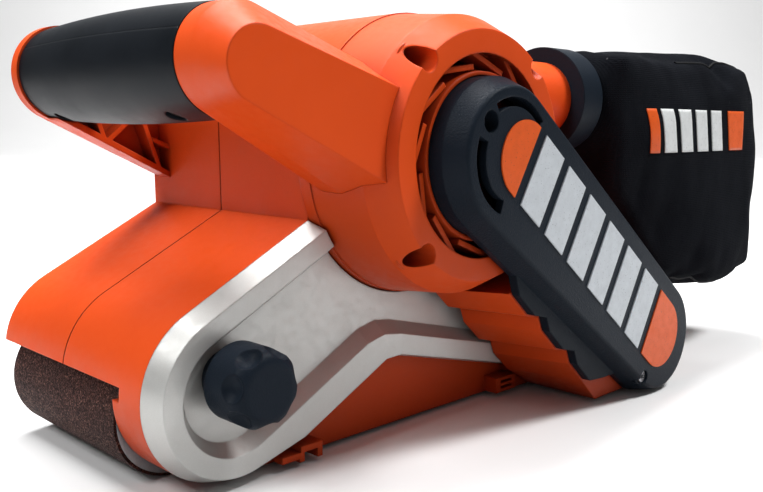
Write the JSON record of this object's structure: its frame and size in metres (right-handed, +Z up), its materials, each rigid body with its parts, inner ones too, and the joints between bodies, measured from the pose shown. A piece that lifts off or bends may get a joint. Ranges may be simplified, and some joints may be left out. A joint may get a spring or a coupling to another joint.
{
  "type": "belt sander",
  "caption": "Handheld electric belt sander with a front bar grip, closed loop rear handle, belt drive cover, tracking knob and fabric dust bag.",
  "frame": {"origin": "on the flat underside of the sanding belt, midway between the two roller axes and on the belt's centre line", "axes": "+X towards the rear handle and dust bag, +Y towards the operator's right (the open belt side), +Z up"},
  "size_m": [0.3553, 0.1575, 0.1553],
  "materials": {
    "body_orange": "satin moulded, orange",
    "cover_black": "satin moulded, near black",
    "grip_rubber": "matt soft-touch",
    "plate_silver": "satin silver paint",
    "control_black": "matt moulded, near black",
    "label_grey": "satin print, pale grey",
    "label_orange": "satin print, orange",
    "steel": "ground",
    "core_steel": "stacked sheet",
    "cast_aluminium": "die cast",
    "copper": "enamelled wire and bars",
    "brass": "drawn",
    "carbon": "pressed carbon, dull",
    "fan_plastic": "matt",
    "belt_rubber": "matt",
    "roller_rubber": "ground",
    "cushion": "cork and rubber",
    "abrasive": "coarse grit on cloth",
    "bag_fabric": "woven, near black",
    "screw_steel": "zinc plated"
  },
  "bodies": {
    "base": {"right_housing": "body_orange", "left_housing": "body_orange", "motor_end_cap": "body_orange", "right_end_cover": "cover_black", "front_handle": "body_orange", "grip_upper": "grip_rubber", "grip_lower": "grip_rubber", "drive_housing": "body_orange", "belt_cover": "cover_black", "label_eyes": "label_orange", "label_bars": "label_grey", "side_plate": "plate_silver", "stator": "core_steel", "stator_windings": "copper", "motor_bearings": "steel", "brush_holders": "brass", "brushes": "carbon", "timing_belt": "belt_rubber", "drive_bearings": "steel", "chassis": "cast_aluminium", "platen_cushion": "cushion", "wear_plate": "steel", "lever_pin": "steel", "trigger_pin": "steel", "dial_pin": "steel", "switch_module": "control_black", "cord_gland": "control_black", "dust_outlet": "body_orange", "housing_screws": "screw_steel", "cap_screws": "screw_steel", "cover_screws": "screw_steel", "grip_screws": "screw_steel"},
    "rotor": {"armature_core": "core_steel", "armature_windings": "copper", "commutator": "copper", "motor_shaft": "steel", "fan": "fan_plastic", "motor_pulley": "steel"},
    "drive_train": {"drive_roller": "roller_rubber", "drive_shaft": "steel", "drive_pulley": "cast_aluminium"},
    "front_yoke": {"yoke": "cast_aluminium", "front_axle": "steel", "tension_spring": "steel"},
    "idler": {"front_roller": "cast_aluminium"},
    "lever": {"tension_lever": "steel"},
    "tracking": {"tracking_knob": "control_black", "tracking_screw": "steel"},
    "belt": {"sanding_belt": "abrasive"},
    "trigger_body": {"trigger": "control_black"},
    "lock_body": {"lock_button": "control_black"},
    "dial_body": {"speed_dial": "control_black"},
    "adapter": {"dust_adapter": "control_black"},
    "bag": {"bag_ring": "control_black", "dust_bag": "bag_fabric"}
  },
  "joints": [
    {"name": "motor_spin", "type": "hinge", "parent": "base", "child": "rotor", "pos_m": [-0.0105, 0, 0.1043], "axis": [0, 1, 0], "continuous": true},
    {"name": "drive_spin", "type": "hinge", "parent": "base", "child": "drive_train", "pos_m": [0.10025, 0, 0.0215], "axis": [0, 1, 0], "continuous": true},
    {"name": "yoke_slide", "type": "slide", "parent": "base", "child": "front_yoke", "axis": [1, 0, 0], "range_m": [0, 0.006], "deforming": ["tension_spring"]},
    {"name": "idler_spin", "type": "hinge", "parent": "front_yoke", "child": "idler", "pos_m": [-0.10025, 0, 0.0215], "axis": [0, 1, 0], "continuous": true},
    {"name": "tension_lever_swing", "type": "hinge", "parent": "base", "child": "lever", "pos_m": [-0.038, 0.034, 0.0215], "axis": [0, 0, 1], "range_deg": [0, 90]},
    {"name": "tracking_turn", "type": "hinge", "parent": "base", "child": "tracking", "pos_m": [-0.095, -0.064, 0.037], "axis": [0, 1, 0], "range_deg": [-150, 150]},
    {"name": "belt_pull_off", "type": "slide", "parent": "base", "child": "belt", "axis": [0, 1, 0], "range_m": [0, 0.09]},
    {"name": "trigger_squeeze", "type": "hinge", "parent": "base", "child": "trigger_body", "pos_m": [0.099, -0.005, 0.122], "axis": [0, 1, 0], "range_deg": [0, 8], "stiffness_Nm_per_rad": 0.5, "springref_deg": -5.73},
    {"name": "lock_press", "type": "slide", "parent": "base", "child": "lock_body", "axis": [0, 1, 0], "range_m": [0, 0.003], "stiffness_N_per_m": 400, "springref_m": -0.002},
    {"name": "dial_turn", "type": "hinge", "parent": "base", "child": "dial_body", "pos_m": [0.124, -0.005, 0.1355], "axis": [0, 1, 0], "range_deg": [-130, 130]},
    {"name": "outlet_swivel", "type": "hinge", "parent": "base", "child": "adapter", "pos_m": [0.065, -0.06, 0.126], "axis": [1, 0, 0], "range_deg": [-90, 0]},
    {"name": "bag_pull_off", "type": "slide", "parent": "adapter", "child": "bag", "axis": [1, 0, 0], "range_m": [0, 0.06]}
  ],
  "couplings": [
    {"joint": "drive_spin", "follows": "motor_spin", "ratio": 0.45926},
    {"joint": "idler_spin", "follows": "motor_spin", "ratio": 0.45926},
    {"joint": "tension_lever_swing", "follows": "yoke_slide", "rad_per_m": 261.79}
  ]
}
